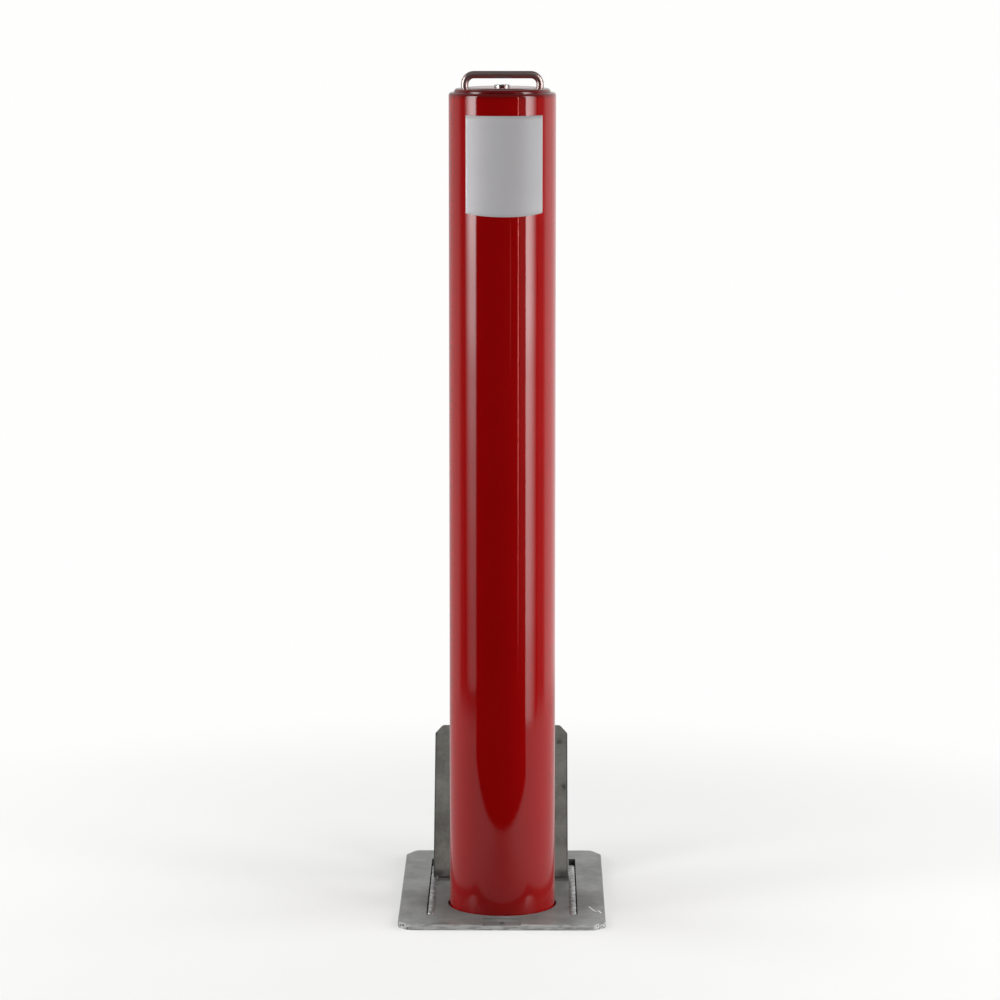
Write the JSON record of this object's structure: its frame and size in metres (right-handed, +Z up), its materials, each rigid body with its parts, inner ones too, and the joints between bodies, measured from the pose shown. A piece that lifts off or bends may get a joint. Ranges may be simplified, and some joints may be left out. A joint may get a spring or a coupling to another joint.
{
  "type": "removable bollard",
  "caption": "Lift-out red steel post bollard with a top lock and lifting handle, standing in a ground socket whose flush plate has a hinged lid.",
  "frame": {"origin": "on the post's axis at ground level, which is the underside of the ground plate", "axes": "+Z up along the post, +X to the right, front towards -Y (the lid stands behind the post at +Y)"},
  "size_m": [0.223, 0.338, 1.249],
  "materials": {
    "red_paint": "deep red gloss paint over the steel tube and cap",
    "raw_steel": "mill-finish grey steel plate",
    "lid_steel": "darker mill-finish steel plate",
    "weld_metal": "bright lumpy weld metal",
    "bright_steel": "turned bright steel",
    "polished_handle": "polished stainless round bar",
    "lock_chrome": "bright plated lock"
  },
  "bodies": {
    "socket": {"ground_plate": "raw_steel", "socket_tube": "raw_steel", "keeper_plate": "raw_steel", "socket_foot": "raw_steel", "brace_plate": "raw_steel", "cheek_left": "raw_steel", "cheek_right": "raw_steel", "weld_bead_left": "weld_metal", "weld_bead_right": "weld_metal", "plate_knuckle": "raw_steel", "hinge_pin": "bright_steel"},
    "lid": {"lid_plate": "lid_steel", "lid_knuckles": "lid_steel"},
    "post": {"post_tube": "red_paint", "top_cap": "red_paint", "upper_rod_guide": "raw_steel", "lower_rod_guide": "raw_steel", "post_foot_disc": "raw_steel", "lock_body": "lock_chrome", "lock_nut": "bright_steel", "guide_cups": "raw_steel"},
    "handle": {"lift_handle": "polished_handle", "handle_stops": "bright_steel"},
    "lock": {"lock_plug": "lock_chrome", "rod_coupling": "bright_steel", "coupling_pin": "bright_steel", "lock_rod": "bright_steel", "rod_collar": "bright_steel", "latch_bar": "bright_steel", "latch_pin": "bright_steel"}
  },
  "joints": [
    {"name": "post_lift", "type": "slide", "parent": "socket", "child": "post", "axis": [0, 0, 1], "range_m": [0, 0.35]},
    {"name": "lid_fold", "type": "hinge", "parent": "socket", "child": "lid", "pos_m": [0, 0.109, 0.0075], "axis": [1, 0, 0], "range_deg": [0, 51.5]},
    {"name": "handle_draw", "type": "slide", "parent": "post", "child": "handle", "axis": [0, 0, 1], "range_m": [0, 0.048]},
    {"name": "lock_turn", "type": "hinge", "parent": "post", "child": "lock", "pos_m": [0, 0, 0.8936], "axis": [0, 0, 1], "range_deg": [0, 90]}
  ]
}
